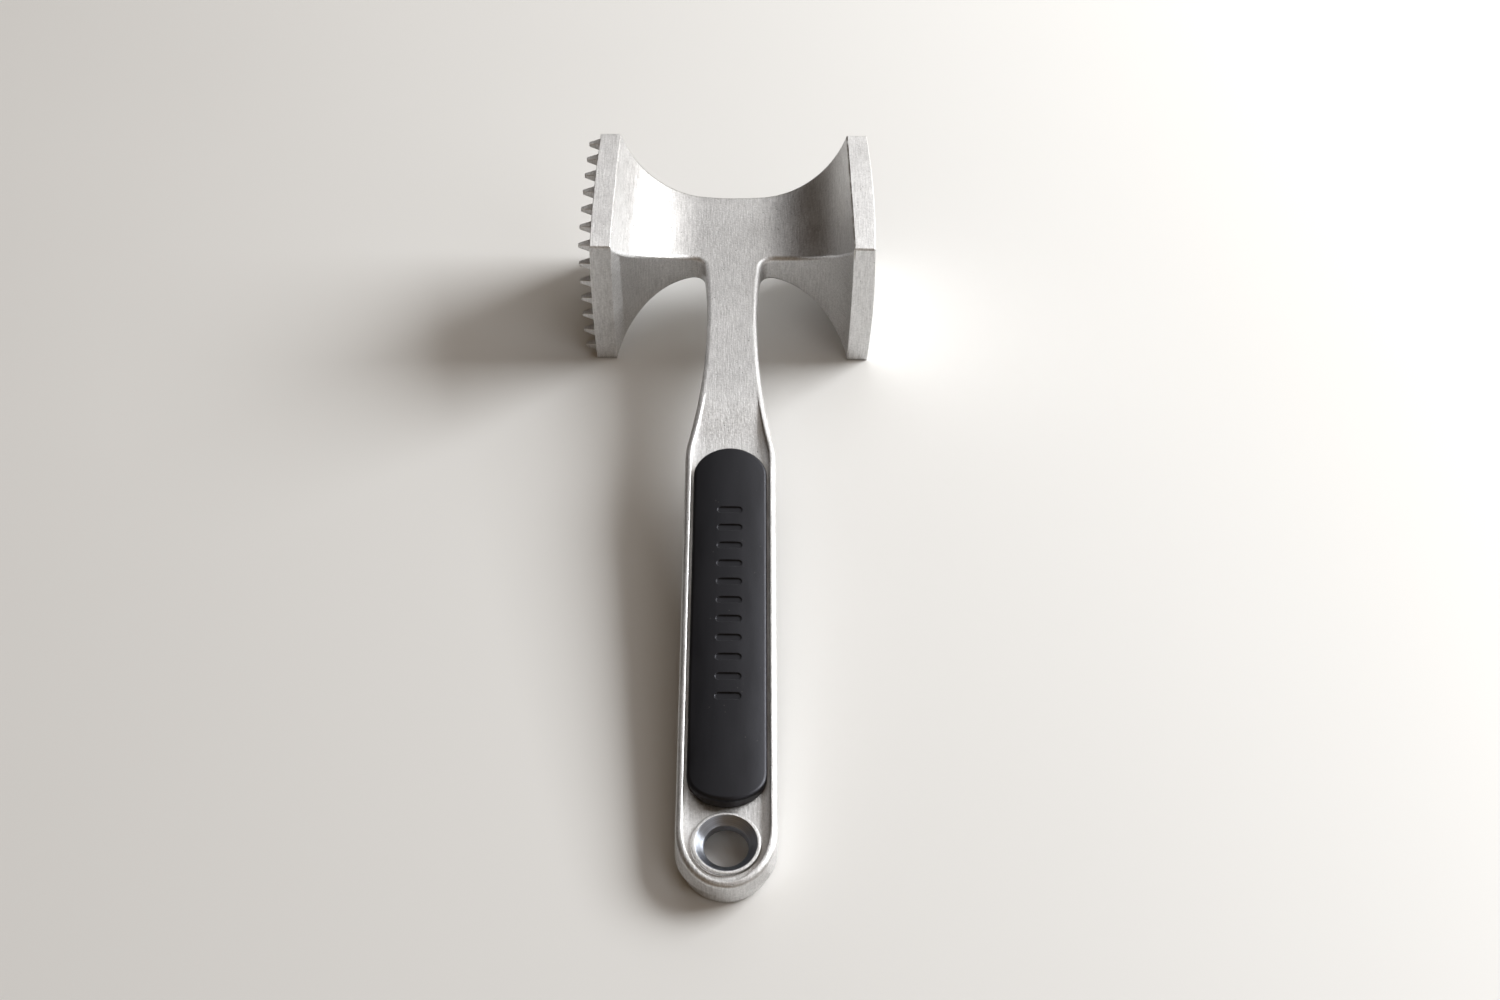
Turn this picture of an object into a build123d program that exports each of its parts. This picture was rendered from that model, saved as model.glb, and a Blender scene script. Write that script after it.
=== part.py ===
"""Cast meat mallet: a one-piece aluminium casting with two moulded grip inlays.

Millimetres.  Every piece is first made about the centre of the head: X runs through the two
striking faces (teeth at -X), -Y runs down the handle and Z is the thickness.  The finished pieces
are then laid down the way the mallet lies on a table, on its head and on the end of its handle.
"""

import math
import os

from build123d import *

# Head
TOOTHED_FACE_X = 44.5        # centre of the head to the middle of the toothed face
SMOOTH_FACE_X = 45.3         # centre of the head to the middle of the smooth face
TOOTHED_DOME_R = 850.0       # both striking faces are slightly domed
SMOOTH_DOME_R = 430.0
FACE_SIZE = 52.8             # side of the square faces, at the middle of each side
FACE_BULGE = 0.5             # how far each side of a face bows out between its corners
FACE_CORNER_R = 0.8
FACE_TOE = 1.45              # degrees by which each face leans in at the far side
PLATE_INNER_X = 37.4         # where the plates end and the waist begins
WAIST_HALF_FLAT = 10.0       # the waist is level this far each side of the centre
WAIST_NEAR_Y = 9.5           # centre plane to the waist's handle side
WAIST_FAR_Y = 18.9           # centre plane to the waist's far side
WAIST_EDGE_R = 1.4

# Teeth
TEETH_PER_SIDE = 7
TOOTH_PITCH = 7.65
TOOTH_GRID_Y = 0.6           # the grid stands this far towards the far side
TOOTH_ROW_BOW = 0.7          # the outer rows bow out with the sides of the face
TOOTH_HEIGHT = 3.7
TOOTH_ROOT = 3.3
TOOTH_TIP = 1.0
TOOTH_SINK = 1.2             # root buried in the domed face
TOOTH_TIP_R = 0.3

# Neck and handle
HANDLE_THICKNESS = 9.5
NECK_WIDTH = 15.7            # at its narrowest
NECK_NARROW_Y = 36.0         # where it is narrowest
NECK_SIDE_R = 250.0          # hollow sides of the neck
NECK_BLEND_R = 4.0           # between neck and waist
SHOULDER_R = 30.0            # from the neck into the parallel handle
HANDLE_WIDTH = 27.0
HANDLE_END_Y = 234.0
END_DEPTH = 12.3             # the end is a half-ellipse, blunt at the centre plane
RIM_END_DEPTH = 18.0         # and slimmer at the rim, so that its wall slopes
HANDLE_EDGE_R = 1.4

# Channel for the inlay, one on each side of the handle
RIM_WIDTH = 1.8
WEB_THICKNESS = 4.6
CHANNEL_START_Y = 66.0       # where the neck starts to dip into the channel
CHANNEL_LEVEL_Y = 88.0       # where the channel reaches its full depth

# Hanging hole
HOLE_Y = 220.3
HOLE_R = 6.0
HOLE_LAND = 2.4              # length of the straight part of the hole
FUNNEL_R = 8.2
BOSS_R = 9.2                 # raised lip round the hole, at its top
BOSS_FOOT_R = 9.5            # and at the centre plane, because its side has draft
BOSS_RISE = 1.0              # lip above the channel floor
BOSS_LIP_R = 0.35

# Inlay, its pegs and the film that bonds it
INLAY_WIDTH = 21.6
INLAY_TOP_Y = 89.5
INLAY_LENGTH = 120.0
INLAY_END_DEPTH = 9.0        # depth of the half-ellipse at each end
INLAY_SIDE_TOP = 5.0         # height of the inlay's side above the centre plane
INLAY_CROWN = 1.5            # further rise at its middle
INLAY_EDGE_R = 1.0
FILM_THICKNESS = 0.3
FILM_INSET = 1.0
PEG_R = 1.5
PEG_LENGTH = 1.5
PEG_CLEARANCE = 0.15
FILM_HOLE_CLEARANCE = 0.4
PEG_Y = (112.0, 149.5, 187.0)

# Row of pressed grooves in the inlay
GROOVE_COUNT = 11
GROOVE_PITCH = 6.4
GROOVE_LENGTH = 7.2
GROOVE_WIDTH = 2.2
GROOVE_DEPTH = 0.45
GROOVE_MIDDLE_Y = 145.0

HALF_FACE = FACE_SIZE / 2
HALF_THICK = HANDLE_THICKNESS / 2
HALF_WEB = WEB_THICKNESS / 2
HEAD_REACH = FACE_SIZE       # safely past the outside of the head
HEAD_LAP_Y = HALF_FACE / 2   # the near half of the head's plan laps the far half up to here
TINY = 1e-3


def both_sides(shape, plane):
    """The shape joined with its mirror image in a plane."""
    return shape + mirror(shape, about=plane)


def face_outline():
    """Square with slightly bowed sides and small corner radii, in the YZ plane."""
    corner = HALF_FACE - FACE_BULGE
    corners = [(corner, corner), (-corner, corner), (-corner, -corner), (corner, -corner)]
    middles = [(0, HALF_FACE), (-HALF_FACE, 0), (0, -HALF_FACE), (HALF_FACE, 0)]
    sides = [
        ThreePointArc(corners[i], middles[i], corners[(i + 1) % 4])
        for i in range(4)
    ]
    face = make_face(Wire(sides))
    return Plane.YZ * fillet(face.vertices(), FACE_CORNER_R)


def toed(x, y):
    """The x of a point of the right-hand plate that would be at x if the faces were parallel."""
    return x - y * math.tan(math.radians(FACE_TOE))


def head_elevation():
    """The head as seen along the handle: plates, and a waist between hollow arcs."""
    line = [
        Line((-WAIST_HALF_FLAT, 0), (-WAIST_HALF_FLAT, HALF_THICK)),
        Line((-WAIST_HALF_FLAT, HALF_THICK), (WAIST_HALF_FLAT, HALF_THICK)),
        TangentArc((WAIST_HALF_FLAT, HALF_THICK), (PLATE_INNER_X, HALF_FACE), tangent=(1, 0)),
        Line((PLATE_INNER_X, HALF_FACE), (HEAD_REACH, HALF_FACE)),
        Line((HEAD_REACH, HALF_FACE), (HEAD_REACH, 0)),
        Line((HEAD_REACH, 0), (-WAIST_HALF_FLAT, 0)),
    ]
    right = both_sides(make_face(Wire(line)), Plane.XZ)
    slab = extrude(Plane.XZ * right, amount=2 * FACE_SIZE, both=True)
    return both_sides(Rot(0, 0, FACE_TOE) * slab, Plane.YZ)


def head_plan():
    """The head as seen from above, with the first part of the neck."""
    half_neck = NECK_WIDTH / 2
    near_inner = toed(PLATE_INNER_X, -HALF_FACE)
    far_inner = toed(PLATE_INNER_X, HALF_FACE)
    rise = NECK_NARROW_Y - WAIST_NEAR_Y
    root_x = half_neck + NECK_SIDE_R - math.sqrt(NECK_SIDE_R**2 - rise**2)
    root = (root_x, -WAIST_NEAR_Y)
    near = [
        Line((0, HEAD_LAP_Y), (0, -NECK_NARROW_Y)),
        Line((0, -NECK_NARROW_Y), (half_neck, -NECK_NARROW_Y)),
        TangentArc((half_neck, -NECK_NARROW_Y), root, tangent=(0, 1)),
        TangentArc(root, (near_inner, -HALF_FACE), tangent=(1, 0)),
        Line((near_inner, -HALF_FACE), (HEAD_REACH, -HALF_FACE)),
        Line((HEAD_REACH, -HALF_FACE), (HEAD_REACH, HEAD_LAP_Y)),
        Line((HEAD_REACH, HEAD_LAP_Y), (0, HEAD_LAP_Y)),
    ]
    near_half = make_face(Wire(near))
    corner = near_half.vertices().sort_by_distance(root)[0]
    near_side = both_sides(fillet(corner, NECK_BLEND_R), Plane.YZ)
    far = [
        ThreePointArc((-far_inner, HALF_FACE), (0, WAIST_FAR_Y), (far_inner, HALF_FACE)),
        Line((far_inner, HALF_FACE), (HEAD_REACH, HALF_FACE)),
        Line((HEAD_REACH, HALF_FACE), (HEAD_REACH, 0)),
        Line((HEAD_REACH, 0), (-HEAD_REACH, 0)),
        Line((-HEAD_REACH, 0), (-HEAD_REACH, HALF_FACE)),
        Line((-HEAD_REACH, HALF_FACE), (-far_inner, HALF_FACE)),
    ]
    return extrude(near_side + make_face(Wire(far)), amount=FACE_SIZE, both=True)


def dome_fall(radius, y, z):
    """How far a domed face falls back away from its middle."""
    return radius - math.sqrt(radius**2 - y * y - z * z)


def dome(face_x, radius):
    """Turned solid that ends at +X in a domed face."""
    fall = dome_fall(radius, HEAD_REACH, 0)
    line = [
        Line((-HEAD_REACH, 0), (face_x, 0)),
        TangentArc((face_x, 0), (face_x - fall, HEAD_REACH), tangent=(0, 1)),
        Line((face_x - fall, HEAD_REACH), (-HEAD_REACH, HEAD_REACH)),
        Line((-HEAD_REACH, HEAD_REACH), (-HEAD_REACH, 0)),
    ]
    return Rot(0, 0, FACE_TOE) * revolve(make_face(Wire(line)), axis=Axis.X)


def waist_edges(blank):
    """The long edges of the waist and the neck stub, without the plates' own edges."""
    plates_begin = toed(PLATE_INNER_X, -HALF_FACE)
    picked = ShapeList()
    for edge in blank.edges():
        box = edge.bounding_box()
        upright = box.size.X < TINY and box.size.Y < TINY
        across_top = box.max.Y > 0 > box.min.Y
        at_plates = max(abs(box.min.X), abs(box.max.X)) > plates_begin + TINY
        at_cut = box.max.Y < TINY - NECK_NARROW_Y
        if not (upright or across_top or at_plates or at_cut):
            picked.append(edge)
    return picked


def head():
    """Plates and waist, with the stub of the neck."""
    blank = head_plan() & head_elevation()
    blank = fillet(waist_edges(blank), WAIST_EDGE_R)
    faces = extrude(face_outline(), amount=HEAD_REACH, both=True)
    stub = Box(4 * WAIST_HALF_FLAT, 2 * NECK_NARROW_Y, HANDLE_THICKNESS)
    smooth_end = dome(SMOOTH_FACE_X, SMOOTH_DOME_R)
    toothed_end = mirror(dome(TOOTHED_FACE_X, TOOTHED_DOME_R), about=Plane.YZ)
    return blank & (faces + stub) & smooth_end & toothed_end


def tooth():
    """Truncated pyramid that points to -X, with its root at the origin."""
    height = TOOTH_HEIGHT + TOOTH_SINK
    taper = math.degrees(math.atan((TOOTH_ROOT - TOOTH_TIP) / 2 / height))
    pyramid = extrude(Rectangle(TOOTH_ROOT, TOOTH_ROOT), amount=height, taper=taper)
    tip = pyramid.faces().sort_by(Axis.Z)[-1]
    return Rot(0, -90, 0) * fillet(tip.edges(), TOOTH_TIP_R)


def teeth():
    """Square grid of teeth that stands on the domed toothed face."""
    middle = (TEETH_PER_SIDE - 1) / 2
    single = tooth()
    grid = []
    for row in range(TEETH_PER_SIDE):
        for column in range(TEETH_PER_SIDE):
            across = (column - middle) / middle
            up = (row - middle) / middle
            y = across * (middle * TOOTH_PITCH + TOOTH_ROW_BOW * (1 - up**2))
            z = up * (middle * TOOTH_PITCH + TOOTH_ROW_BOW * (1 - across**2))
            root = TOOTH_SINK + dome_fall(TOOTHED_DOME_R, y, z) - toed(TOOTHED_FACE_X, y)
            grid.append(Pos(root, y + TOOTH_GRID_Y, z) * Rot(0, 0, -FACE_TOE) * single)
    return grid


def side_line(sign, half_neck, half_width, end_y, inset):
    """Neck, shoulder and straight side on +X (sign 1) or -X (sign -1)."""
    hollow_r = NECK_SIDE_R + inset
    shoulder_r = SHOULDER_R - inset
    flare = math.degrees(math.acos(1 - (half_width - half_neck) / (hollow_r + shoulder_r)))
    neck = JernArc((sign * half_neck, -NECK_NARROW_Y), (0, -1), hollow_r, sign * flare)
    shoulder = JernArc(neck @ 1, neck % 1, shoulder_r, -sign * flare)
    return [neck, shoulder, Line(shoulder @ 1, (sign * half_width, end_y))]


def handle_outline(end_depth, inset=0.0):
    """Neck, parallel grip and an end of that depth, seen from above."""
    half_neck = NECK_WIDTH / 2 - inset
    half_width = HANDLE_WIDTH / 2 - inset
    depth = end_depth - inset
    end_y = end_depth - HANDLE_END_Y
    outline = [
        *side_line(1, half_neck, half_width, end_y, inset),
        EllipticalCenterArc((0, end_y), half_width, depth, start_angle=180, arc_size=180),
        *side_line(-1, half_neck, half_width, end_y, inset),
        Line((-half_neck, -NECK_NARROW_Y), (half_neck, -NECK_NARROW_Y)),
    ]
    return make_face(Wire(outline))


def handle_bar():
    """Flat bar in the shape of the handle, with a sloping end wall and rounded outer edges."""
    middle = handle_outline(END_DEPTH)
    rim = Pos(0, 0, HALF_THICK) * handle_outline(RIM_END_DEPTH)
    bar = both_sides(loft([middle, rim], ruled=True), Plane.XY)
    level = bar.edges().filter_by(lambda e: e.bounding_box().size.Z < TINY)
    outer = level.filter_by(lambda e: e.bounding_box().min.Y < -NECK_NARROW_Y - TINY)
    rims = outer.filter_by(lambda e: abs(e.center().Z) > HALF_WEB)
    return fillet(rims, HANDLE_EDGE_R)


def channel():
    """What is taken out of the top of the handle: a ramp from the neck and a level floor."""
    above = 2 * HALF_THICK
    start = (-CHANNEL_START_Y, HALF_THICK)
    foot = (-CHANNEL_LEVEL_Y, HALF_WEB)
    ramp = [
        Spline(start, foot, tangents=[(-1, 0), (-1, 0)]),
        Line(foot, (-HANDLE_END_Y, HALF_WEB)),
        Line((-HANDLE_END_Y, HALF_WEB), (-HANDLE_END_Y, above)),
        Line((-HANDLE_END_Y, above), (-CHANNEL_START_Y, above)),
        Line((-CHANNEL_START_Y, above), start),
    ]
    profile = extrude(Plane.YZ * make_face(Wire(ramp)), amount=HANDLE_WIDTH, both=True)
    plan = extrude(handle_outline(RIM_END_DEPTH, RIM_WIDTH), amount=above)
    return profile & plan


def hole_boss():
    """Raised lip round the hanging hole, above one channel floor."""
    lip = HALF_WEB + BOSS_RISE
    boss = Cone(BOSS_FOOT_R, BOSS_R, lip, align=(Align.CENTER, Align.CENTER, Align.MIN))
    rim = boss.edges().sort_by(Axis.Z)[-1]
    return Pos(0, -HOLE_Y, 0) * fillet(rim, BOSS_LIP_R)


def hole_cutter():
    """The hanging hole: a short straight bore between two funnels."""
    lip = HALF_WEB + BOSS_RISE
    half_land = HOLE_LAND / 2
    points = [(0, lip), (FUNNEL_R, lip), (HOLE_R, half_land), (HOLE_R, -half_land)]
    points += [(FUNNEL_R, -lip), (0, -lip)]
    profile = Plane.XZ * make_face(Polyline(*points, close=True))
    return Pos(0, -HOLE_Y, 0) * revolve(profile, axis=Axis.Z)


def peg_row(radius, length):
    """Row of pegs that stand down from the top of the web."""
    down = (Align.CENTER, Align.CENTER, Align.MAX)
    return [Pos(0, -y, HALF_WEB) * Cylinder(radius, length, align=down) for y in PEG_Y]


def body_casting():
    """Head, neck and handle in one piece."""
    casting = head() + handle_bar()
    casting -= both_sides(channel(), Plane.XY)
    casting += both_sides(hole_boss(), Plane.XY)
    casting -= hole_cutter()
    sockets = Part() + peg_row(PEG_R + PEG_CLEARANCE, PEG_LENGTH + PEG_CLEARANCE)
    casting -= both_sides(sockets, Plane.XY)
    return casting + teeth()


def inlay_outline(inset=0.0):
    """Parallel sides and half-ellipse ends, seen from above (XY)."""
    half_width = INLAY_WIDTH / 2 - inset
    depth = INLAY_END_DEPTH - inset
    top_y = -INLAY_TOP_Y - INLAY_END_DEPTH
    low_y = -INLAY_TOP_Y - INLAY_LENGTH + INLAY_END_DEPTH
    outline = [
        EllipticalCenterArc((0, top_y), half_width, depth, start_angle=0, arc_size=180),
        Line((-half_width, top_y), (-half_width, low_y)),
        EllipticalCenterArc((0, low_y), half_width, depth, start_angle=180, arc_size=180),
        Line((half_width, low_y), (half_width, top_y)),
    ]
    return make_face(Wire(outline))


def grip_inlay():
    """Domed pad with a row of pressed grooves and three pegs underneath."""
    base = HALF_WEB + FILM_THICKNESS
    half_width = INLAY_WIDTH / 2
    crown = [
        Line((-half_width, base), (half_width, base)),
        Line((half_width, base), (half_width, INLAY_SIDE_TOP)),
        ThreePointArc(
            (half_width, INLAY_SIDE_TOP),
            (0, INLAY_SIDE_TOP + INLAY_CROWN),
            (-half_width, INLAY_SIDE_TOP),
        ),
        Line((-half_width, INLAY_SIDE_TOP), (-half_width, base)),
    ]
    domed = extrude(Plane.XZ * make_face(Wire(crown)), amount=HANDLE_END_Y, both=True)
    pad = domed & extrude(inlay_outline(), amount=HANDLE_THICKNESS)
    top_edges = pad.edges().filter_by(lambda e: e.bounding_box().min.Z > base + TINY)
    pad = fillet(top_edges, INLAY_EDGE_R)
    groove_floor = INLAY_SIDE_TOP + INLAY_CROWN - GROOVE_DEPTH
    first = -GROOVE_MIDDLE_Y - (GROOVE_COUNT - 1) / 2 * GROOVE_PITCH
    groove = extrude(SlotOverall(GROOVE_LENGTH, GROOVE_WIDTH), amount=INLAY_CROWN)
    pad -= [Pos(0, first + i * GROOVE_PITCH, groove_floor) * groove for i in range(GROOVE_COUNT)]
    pegs = Part() + peg_row(PEG_R, PEG_LENGTH)
    shanks = [Pos(0, 0, FILM_THICKNESS) * pegs, pegs]
    return pad + shanks


def adhesive_film():
    """Thin film under the inlay, punched for the pegs."""
    film = extrude(inlay_outline(FILM_INSET), amount=FILM_THICKNESS)
    holes = Part() + peg_row(PEG_R + FILM_HOLE_CLEARANCE, HANDLE_THICKNESS)
    return Pos(0, 0, HALF_WEB) * film - Pos(0, 0, HALF_THICK) * holes


def rest_tilt():
    """Angle between the handle and the table when the mallet lies down, in degrees."""
    corner = HALF_FACE - FACE_BULGE - FACE_CORNER_R
    run = HANDLE_END_Y - HANDLE_EDGE_R - corner
    rise = corner - (HALF_THICK - HANDLE_EDGE_R)
    offset_angle = math.asin((FACE_CORNER_R - HANDLE_EDGE_R) / math.hypot(run, rise))
    return math.degrees(math.atan2(rise, run) + offset_angle)


def lay_down(casting):
    """The move that lays the mallet on the table, with its footprint's middle at the origin."""
    tilt = Rot(rest_tilt(), 0, 0)
    box = (tilt * casting).bounding_box()
    return Pos(-box.center().X, -box.center().Y, -box.min.Z) * tilt


def main():
    """Build every piece, lay the mallet down and write one file for each piece."""
    casting = body_casting()
    inlay = grip_inlay()
    film = adhesive_film()
    pieces = {
        "body_casting": casting,
        "upper_grip_inlay": inlay,
        "lower_grip_inlay": mirror(inlay, about=Plane.XY),
        "upper_adhesive_film": film,
        "lower_adhesive_film": mirror(film, about=Plane.XY),
    }
    place = lay_down(casting)
    os.makedirs("parts", exist_ok=True)
    for name, piece in pieces.items():
        export_step(place * piece, f"parts/{name}.step")
    print("tilt", round(rest_tilt(), 3), "degrees, centre of the head", place.position)
    print("hole centre", (place * Pos(0, -HOLE_Y, 0)).position)


main()
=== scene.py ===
"""Looks for the cast meat mallet: materials, floor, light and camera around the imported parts."""

import math

import bpy
from mathutils import Matrix, Vector

# The mallet lies with its handle sloping down, so its own axes are turned about X from the frame's.
REST_TILT = math.radians(5.819)
HEAD_CENTRE = (0.00153, 0.10240, 0.02835)

# Camera: a 50 mm lens on a 36 mm sensor, above the handle's end and looking down at the mallet.
CAMERA_PLACE = (0.00432, -0.42750, 0.46569)
CAMERA_TARGET = (0.00755, 0.01537, 0.0)
CAMERA_ROLL = math.radians(0.749)
LENS_MM = 50.0
SENSOR_MM = 36.0

# Soft lights: name, azimuth from +X towards +Y and elevation in degrees, distance, size, watts, colour.
SOFT_LIGHTS = [
    ("window", 17, 34, 1.5, (0.95, 0.75), 31.0, (0.985, 0.995, 1.0)),
    ("far_panel", 66, 24, 1.8, (1.5, 0.9), 6.0, (1.0, 1.0, 0.98)),
    ("top_panel", 84, 62, 1.8, (1.3, 1.1), 3.0, (0.97, 0.985, 1.0)),
    ("near_panel", -50, 38, 1.6, (0.8, 0.8), 3.0, (0.90, 0.94, 1.0)),
]
ROOM_DARK = (0.03, 0.018, 0.009)
ROOM_PALE = (0.17, 0.115, 0.062)
ROOM_DARK_SIDE = (-0.75, 0.62, 0.20)

# Places on the casting, in metres in the mallet's own axes.
PLATE_INNER_X = 0.0374         # where a plate meets the hollow of the head
FACE_TOE = 1.45                # degrees by which each plate leans in at the far side
HOLLOW_START_X = (0.009, 0.016)  # the hollow rises out of the level waist between these
# Painted shadow: a thin line along the plates' inner top edges, standing for the shade of their sharp
# edges.
CREASE_SHADOW_HALF_WIDTH = 0.0003
CREASE_SHADOW_START_Z = (0.020, 0.024)  # the crease and its painted shadow show above these heights, near the plates' tops
HOLE_Y = 0.2203                # centre of the hanging hole, down the handle from the head's centre
FUNNEL_R = 0.0083
DOME_MIDDLE_X = 0.044          # the middle of the smooth face lies past here
DOME_MIDDLE_R = 0.013

# Finish of the casting and the moulding.
EDGE_RADIUS = 0.0005
PAD_EDGE_RADIUS = 0.0004
METAL_RELIEF = 0.00010         # depth of the metal's grain
FINE_RELIEF = 0.00003          # depth of the moulding's and the film's grain
# Painted shade: the casting's tight corners are darkened within this reach, towards this brownish colour.
CORNER_SHADE_REACH = 0.0025
PAINTED_SHADE_COLOUR = (0.20, 0.165, 0.13, 1)
# The funnel's turned rings are tinted bluish; the tint is a painted cool reflection.
TURNED_DARK_COOL_REFLECTION = (0.29, 0.31, 0.35, 1)
TURNED_LIGHT_COOL_REFLECTION = (0.42, 0.445, 0.50, 1)

FLOOR_SIZE = 20.0
FLOOR_COLOUR = (0.80, 0.80, 0.79)


class Graph:
    """A material's nodes, added by short type name with their inputs set or linked in one call."""

    def __init__(self, name):
        self.material = bpy.data.materials.new(name)
        self.material.use_nodes = True
        self.tree = self.material.node_tree
        self.tree.nodes.clear()

    def node(self, kind, inputs=None, **settings):
        made = self.tree.nodes.new("ShaderNode" + kind)
        for key, value in settings.items():
            setattr(made, key, value)
        for key, value in (inputs or {}).items():
            self.feed(made.inputs[key], value)
        return made

    def feed(self, socket, value):
        if isinstance(value, bpy.types.NodeSocket):
            self.tree.links.new(value, socket)
        else:
            socket.default_value = value

    def math(self, operation, first, second=0.0, clamp=False):
        made = self.node("Math", {0: first, 1: second}, operation=operation, use_clamp=clamp)
        return made.outputs[0]

    def ramp(self, value, low, high, start=0.0, end=1.0):
        """Value mapped from low..high to start..end and held within them."""
        inputs = {"Value": value, "From Min": low, "From Max": high, "To Min": start, "To Max": end}
        return self.node("MapRange", inputs).outputs["Result"]

    def mix(self, factor, first, second):
        made = self.node("Mix", {"Factor": factor}, data_type="RGBA")
        self.feed(made.inputs["A"], first)
        self.feed(made.inputs["B"], second)
        return made.outputs["Result"]

    def noise(self, vector, scale, detail=2.0, roughness=0.5):
        inputs = {"Vector": vector, "Scale": scale, "Detail": detail, "Roughness": roughness}
        return self.node("TexNoise", inputs).outputs["Fac"]

    def mallet_axes(self):
        """Position in the mallet's own axes: X through the faces, Y along the handle, Z thickness."""
        place = self.node("TexCoord").outputs["Object"]
        moved = self.node("Mapping", {"Vector": place, "Location": [-c for c in HEAD_CENTRE]})
        turned = self.node("Mapping", {"Vector": moved.outputs[0], "Rotation": (-REST_TILT, 0, 0)})
        return turned.outputs[0]

    def stretched(self, vector, scale):
        return self.node("Mapping", {"Vector": vector, "Scale": scale}).outputs[0]

    def finish(self, inputs):
        shader = self.node("BsdfPrincipled", inputs)
        self.node("OutputMaterial", {"Surface": shader.outputs[0]})
        return self.material


def sparse_dots(g, axes, scale, size, share):
    """Small dots, 1 inside and 0 outside, kept only where a coarser noise is above a share."""
    cells = g.node("TexVoronoi", {"Vector": axes, "Scale": scale})
    dots = g.ramp(cells.outputs["Distance"], size, size / 2, 0.0, 1.0)
    kept = g.math("GREATER_THAN", g.noise(axes, scale / 2, detail=0.0), share)
    return g.math("MULTIPLY", dots, kept)


def worn_edge(g, radius):
    """Rounded normal, and how far it turns away from the true one: 1 along edges, 0 elsewhere."""
    rounded = g.node("Bevel", {"Radius": radius}, samples=6).outputs[0]
    true_normal = g.node("NewGeometry").outputs["Normal"]
    facing = g.node("VectorMath", {0: rounded, 1: true_normal}, operation="DOT_PRODUCT")
    return rounded, g.ramp(facing.outputs["Value"], 0.995, 0.90)


def brush_marks(g, axes):
    """Fine lines along the handle, but upright where a surface faces along the handle."""
    along = g.noise(g.stretched(axes, (2300, 190, 2300)), 1.0, detail=3.0, roughness=0.7)
    upright = g.noise(g.stretched(axes, (2300, 2300, 190)), 1.0, detail=3.0, roughness=0.7)
    normal = g.node("SeparateXYZ", {0: g.node("NewGeometry").outputs["Normal"]})
    faces_along = g.ramp(g.math("ABSOLUTE", normal.outputs["Y"]), 0.6, 0.8)
    return g.node("Mix", {"Factor": faces_along, "A": along, "B": upright}).outputs["Result"]


def machined_funnel(g, axes):
    """1 in the turned funnels of the hanging hole, with a fine ring pattern, and 0 elsewhere."""
    from_hole = g.node("Mapping", {"Vector": axes, "Location": (0, HOLE_Y, 0)}).outputs[0]
    flat = g.stretched(from_hole, (1, 1, 0))
    radius = g.node("VectorMath", {0: flat}, operation="LENGTH").outputs["Value"]
    inside = g.math("LESS_THAN", radius, FUNNEL_R)
    ring_place = g.node("CombineXYZ", {0: radius}).outputs[0]
    rings = g.noise(ring_place, 3600, detail=1.0)
    return inside, rings


def plate_edge_distance(g, x_out, y):
    """Distance outwards from the line where a plate meets the hollow; the plates lean together."""
    lean = g.math("MULTIPLY", y, math.tan(math.radians(FACE_TOE)))
    return g.math("SUBTRACT", g.math("ADD", x_out, lean), PLATE_INNER_X)


def steady_middle(g, axes, normal):
    """The normal, but the mesh's flat one in the middle of the smooth face, where many triangles meet."""
    out = g.node("SeparateXYZ", {0: axes}).outputs["X"]
    off_axis = g.node("VectorMath", {0: g.stretched(axes, (0, 1, 1))}, operation="LENGTH")
    near_axis = g.math("LESS_THAN", off_axis.outputs["Value"], DOME_MIDDLE_R)
    middle = g.math("MULTIPLY", near_axis, g.math("GREATER_THAN", out, DOME_MIDDLE_X))
    return g.mix(middle, normal, g.node("NewGeometry").outputs["True Normal"])


def shadowed_crease_line(g, axes, place, past_edge):
    """Painted shadow of a plate's sharp inner edge: a broken line where the plate meets the hollow, plain
    at the smooth face, faint at the teeth.
    """
    broken = g.ramp(g.noise(axes, 240, detail=2.0), 0.35, 0.5)
    line = g.ramp(g.math("ABSOLUTE", past_edge), CREASE_SHADOW_HALF_WIDTH, CREASE_SHADOW_HALF_WIDTH / 3)
    high = g.ramp(g.math("ABSOLUTE", place.outputs["Z"]), *CREASE_SHADOW_START_Z)
    shadowed_crease = g.math("MULTIPLY", g.math("MULTIPLY", line, broken), high)
    return g.math("MULTIPLY", shadowed_crease, g.ramp(place.outputs["X"], -0.01, 0.01, 0.25, 1.0))


def painted_corner_shade(g, cloud):
    """Painted shade: 1 in tight inner corners, where the occlusion finds shade, and 0 in the open, patchy
    like the cloud.
    """
    open_air = g.node("AmbientOcclusion", {"Distance": CORNER_SHADE_REACH}, samples=4).outputs["AO"]
    return g.math("MULTIPLY", g.ramp(open_air, 0.75, 0.30), g.ramp(cloud, 0.35, 0.6, 0.5, 1.0))


def metal_colour(g, grain, brush, cloud, pits, worn, linished):
    """Neutral metal: varied by its grain and brushing, paler where linished or worn, darker in pits."""
    tone = g.math("ADD", g.ramp(cloud, 0.3, 0.7, -0.04, 0.04), g.ramp(grain, 0.3, 0.7, 0.57, 0.77))
    tone = g.math("ADD", tone, g.ramp(brush, 0.3, 0.7, -0.10, 0.10))
    tone = g.math("ADD", tone, g.math("MULTIPLY", linished, 0.14))
    tone = g.math("SUBTRACT", tone, g.math("MULTIPLY", pits, 0.35))
    tone = g.math("ADD", tone, g.math("MULTIPLY", worn, 0.18), clamp=True)
    metal = g.node("CombineColor", {0: tone, 1: tone, 2: g.math("MULTIPLY", tone, 1.005)})
    return metal.outputs[0]


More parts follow.
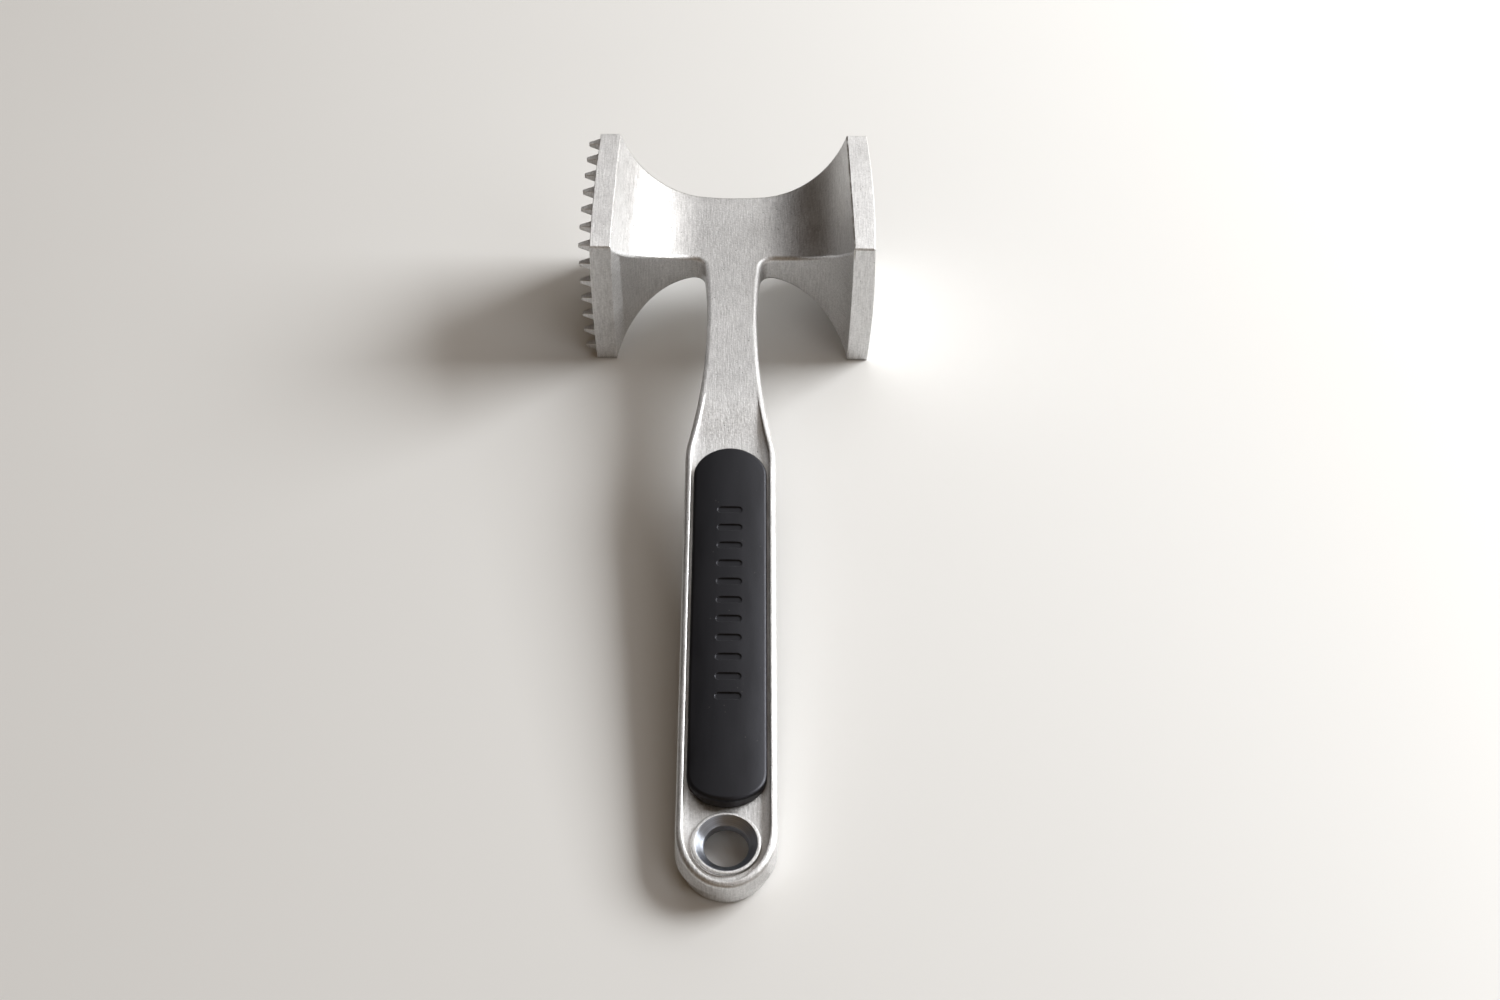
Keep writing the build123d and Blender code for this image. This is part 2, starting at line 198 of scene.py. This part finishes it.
def metal_roughness(g, grain, brush, cloud, linished, smoother):
    """Satin, duller on the linished tops; smoother is a list of (mask, how much less rough)."""
    rough = g.math("ADD", g.ramp(grain, 0.3, 0.7, 0.42, 0.54), g.ramp(cloud, 0.3, 0.7, -0.03, 0.03))
    rough = g.math("ADD", rough, g.ramp(brush, 0.3, 0.7, -0.03, 0.03))
    rough = g.math("ADD", rough, g.math("MULTIPLY", linished, 0.05))
    for mask, amount in smoother:
        rough = g.math("SUBTRACT", rough, g.math("MULTIPLY", mask, amount))
    return rough


def metal_relief(g, grain, brush, pits, shadowed_crease, funnel, rings):
    """Height of the cast skin, and of the turned rings where the funnel has cut it away."""
    height = g.math("ADD", g.math("MULTIPLY", grain, 0.7), g.math("MULTIPLY", brush, 0.9))
    height = g.math("SUBTRACT", height, g.math("ADD", pits, g.math("MULTIPLY", shadowed_crease, 2.0)))
    height = g.math("MULTIPLY", height, g.math("SUBTRACT", 1.0, funnel))
    return g.math("ADD", height, g.math("MULTIPLY", g.math("MULTIPLY", rings, 0.6), funnel))


def across_brushing(g, facing):
    """Direction at right angles to the brushing: Z where a surface faces sideways, or else X."""
    sideways = g.math("GREATER_THAN", g.math("ABSOLUTE", facing.outputs["X"]), 0.8)
    return g.node("CombineXYZ", {0: g.math("SUBTRACT", 1.0, sideways), 2: sideways}).outputs[0]


def cast_aluminium():
    """Blasted and lightly brushed casting: worn bright edges, painted shade in its corners and along the
    plates' inner edges, turned funnels with a painted cool reflection.
    """
    g = Graph("cast_aluminium_satin")
    axes = g.mallet_axes()
    place = g.node("SeparateXYZ", {0: axes})
    facing = g.node("SeparateXYZ", {0: g.node("NewGeometry").outputs["Normal"]})
    x_out = g.math("ABSOLUTE", place.outputs["X"])
    past_edge = plate_edge_distance(g, x_out, place.outputs["Y"])
    before_plate = g.math("LESS_THAN", past_edge, 0.0)
    in_hollow = g.math("MULTIPLY", g.ramp(x_out, *HOLLOW_START_X), before_plate)
    level = g.ramp(g.math("ABSOLUTE", facing.outputs["Z"]), 0.90, 0.97)
    linished = g.math("MULTIPLY", level, g.math("GREATER_THAN", past_edge, 0.0))

    grain = g.noise(axes, 1500, detail=3.0, roughness=0.75)
    brush = brush_marks(g, axes)
    cloud = g.noise(axes, 95, detail=4.0, roughness=0.6)
    pits = sparse_dots(g, axes, scale=620, size=0.14, share=0.62)
    rounded, worn = worn_edge(g, EDGE_RADIUS)
    funnel, rings = machined_funnel(g, axes)
    shadowed_crease = shadowed_crease_line(g, axes, place, past_edge)
    corner_shade = painted_corner_shade(g, cloud)

    # Painted shade: the corners and the plates' inner top edges are darkened in the colour.
    dark = g.math("MAXIMUM", g.math("MULTIPLY", corner_shade, 0.6), g.math("MULTIPLY", shadowed_crease, 0.75))
    metal = metal_colour(g, grain, brush, cloud, pits, worn, linished)
    # Turned rings in the funnel, in bluish colours that paint a cool reflection.
    turned = g.mix(g.ramp(rings, 0.35, 0.65), TURNED_DARK_COOL_REFLECTION, TURNED_LIGHT_COOL_REFLECTION)
    smoother = [(in_hollow, 0.07), (worn, 0.12), (funnel, 0.10)]
    bump = g.node("Bump", {
        "Height": metal_relief(g, grain, brush, pits, shadowed_crease, funnel, rings),
        "Distance": METAL_RELIEF,
        "Strength": 0.8,
        "Normal": steady_middle(g, axes, rounded),
    })
    return g.finish({
        "Base Color": g.mix(funnel, g.mix(dark, metal, PAINTED_SHADE_COLOUR), turned),
        "Metallic": 1.0,
        "Roughness": metal_roughness(g, grain, brush, cloud, linished, smoother),
        "Anisotropic": 0.5,
        "Tangent": across_brushing(g, facing),
        "Normal": bump.outputs[0],
    })


def black_moulding():
    """Matte moulded grip: fine grain, faint handling marks and dust, softened edges."""
    g = Graph("black_matte_moulding")
    axes = g.mallet_axes()
    grain = g.noise(axes, 3000, detail=2.0)
    smear = g.noise(g.stretched(axes, (260, 60, 260)), 1.0, detail=3.0)
    dust = sparse_dots(g, axes, scale=520, size=0.12, share=0.66)
    rounded, worn = worn_edge(g, PAD_EDGE_RADIUS)
    plain = g.mix(g.ramp(smear, 0.35, 0.65), (0.0035, 0.0035, 0.0045, 1), (0.006, 0.006, 0.0075, 1))
    rubbed = g.mix(g.math("MULTIPLY", worn, 0.5), plain, (0.018, 0.018, 0.021, 1))
    colour = g.mix(g.math("MULTIPLY", dust, 0.18), rubbed, (0.22, 0.21, 0.20, 1))
    rough = g.math("ADD", g.ramp(smear, 0.35, 0.65, 0.38, 0.46), g.ramp(grain, 0.3, 0.7, -0.03, 0.03))
    bump_inputs = {"Height": grain, "Distance": FINE_RELIEF, "Strength": 0.5, "Normal": rounded}
    bump = g.node("Bump", bump_inputs)
    return g.finish({
        "Base Color": colour,
        "Roughness": rough,
        # The bluish specular tint paints a cool cast into the moulding's reflections.
        "Specular Tint": (0.86, 0.88, 1.0, 1),
        "Normal": bump.outputs[0],
    })


def bonding_film():
    """Greyish, slightly rubbery film with a finely mottled squeeze-out edge."""
    g = Graph("bonding_film")
    axes = g.mallet_axes()
    mottle = g.noise(axes, 900, detail=3.0)
    colour = g.mix(g.ramp(mottle, 0.3, 0.7), (0.40, 0.39, 0.36, 1), (0.58, 0.57, 0.53, 1))
    bump = g.node("Bump", {"Height": mottle, "Distance": FINE_RELIEF, "Strength": 0.4})
    roughness = g.ramp(mottle, 0.3, 0.7, 0.45, 0.65)
    return g.finish({"Base Color": colour, "Roughness": roughness, "Normal": bump.outputs[0]})


def pale_floor():
    """Plain pale table top, slightly cloudy in its roughness only."""
    g = Graph("pale_floor")
    place = g.node("TexCoord").outputs["Object"]
    cloud = g.noise(place, 9.0, detail=3.0)
    roughness = g.ramp(cloud, 0.3, 0.7, 0.42, 0.52)
    return g.finish({"Base Color": (*FLOOR_COLOUR, 1), "Roughness": roughness})


def paint(node, material):
    """Gives every material slot of a CAD node the same material."""
    for slot in node.material_slots:
        slot.material = material


def make_floor():
    """One large flat square at the table's level."""
    half = FLOOR_SIZE / 2
    mesh = bpy.data.meshes.new("floor")
    corners = [(-half, -half, 0), (half, -half, 0), (half, half, 0), (-half, half, 0)]
    mesh.from_pydata(corners, [], [(0, 1, 2, 3)])
    mesh.materials.append(pale_floor())
    floor = bpy.data.objects.new("floor", mesh)
    bpy.context.scene.collection.objects.link(floor)


def make_light(name, azimuth, elevation, distance, size, watts, colour):
    """A rectangular soft light that faces the head."""
    light = bpy.data.lights.new(name, "AREA")
    light.shape = "RECTANGLE"
    light.size, light.size_y = size
    light.energy = watts
    light.color = colour
    turn, lift = math.radians(azimuth), math.radians(elevation)
    towards = Vector((math.cos(turn) * math.cos(lift), math.sin(turn) * math.cos(lift), math.sin(lift)))
    lamp = bpy.data.objects.new(name, light)
    lamp.location = Vector(HEAD_CENTRE) + towards * distance
    lamp.rotation_euler = towards.to_track_quat("Z", "Y").to_euler()
    bpy.context.scene.collection.objects.link(lamp)


def make_room():
    """Dim warm light from all round, darkest behind the toothed face."""
    world = bpy.data.worlds.new("room")
    world.use_nodes = True
    tree = world.node_tree
    direction = tree.nodes.new("ShaderNodeTexCoord").outputs["Generated"]
    towards_dark = tree.nodes.new("ShaderNodeVectorMath")
    towards_dark.operation = "DOT_PRODUCT"
    towards_dark.inputs[1].default_value = ROOM_DARK_SIDE
    tree.links.new(direction, towards_dark.inputs[0])
    ramp = tree.nodes.new("ShaderNodeValToRGB")
    ramp.color_ramp.interpolation = "EASE"
    ramp.color_ramp.elements[0].color = (*ROOM_PALE, 1)
    ramp.color_ramp.elements[1].color = (*ROOM_DARK, 1)
    ramp.color_ramp.elements[1].position = 0.8
    tree.links.new(towards_dark.outputs["Value"], ramp.inputs["Fac"])
    tree.links.new(ramp.outputs["Color"], tree.nodes["Background"].inputs["Color"])
    bpy.context.scene.world = world


def make_camera():
    """The camera, aimed with a slight roll."""
    data = bpy.data.cameras.new("camera")
    data.lens = LENS_MM
    data.sensor_width = SENSOR_MM
    data.clip_start = 0.01
    camera = bpy.data.objects.new("camera", data)
    looking = Vector(CAMERA_TARGET) - Vector(CAMERA_PLACE)
    level = looking.to_track_quat("-Z", "Y").to_matrix().to_4x4()
    roll = Matrix.Rotation(CAMERA_ROLL, 4, "Z")
    camera.matrix_world = Matrix.Translation(CAMERA_PLACE) @ level @ roll
    bpy.context.scene.collection.objects.link(camera)
    bpy.context.scene.camera = camera


bpy.context.scene.view_settings.view_transform = "Standard"

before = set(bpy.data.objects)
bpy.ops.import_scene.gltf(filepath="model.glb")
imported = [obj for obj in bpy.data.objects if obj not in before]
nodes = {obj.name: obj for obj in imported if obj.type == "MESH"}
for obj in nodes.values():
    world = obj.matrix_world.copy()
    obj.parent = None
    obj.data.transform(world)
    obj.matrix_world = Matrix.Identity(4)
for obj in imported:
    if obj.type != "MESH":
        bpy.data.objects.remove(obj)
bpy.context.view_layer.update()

paint(nodes["body_casting"], cast_aluminium())
moulding = black_moulding()
film = bonding_film()
for side in ("upper", "lower"):
    paint(nodes[f"{side}_grip_inlay"], moulding)
    paint(nodes[f"{side}_adhesive_film"], film)

make_floor()
for soft_light in SOFT_LIGHTS:
    make_light(*soft_light)
make_room()
make_camera()
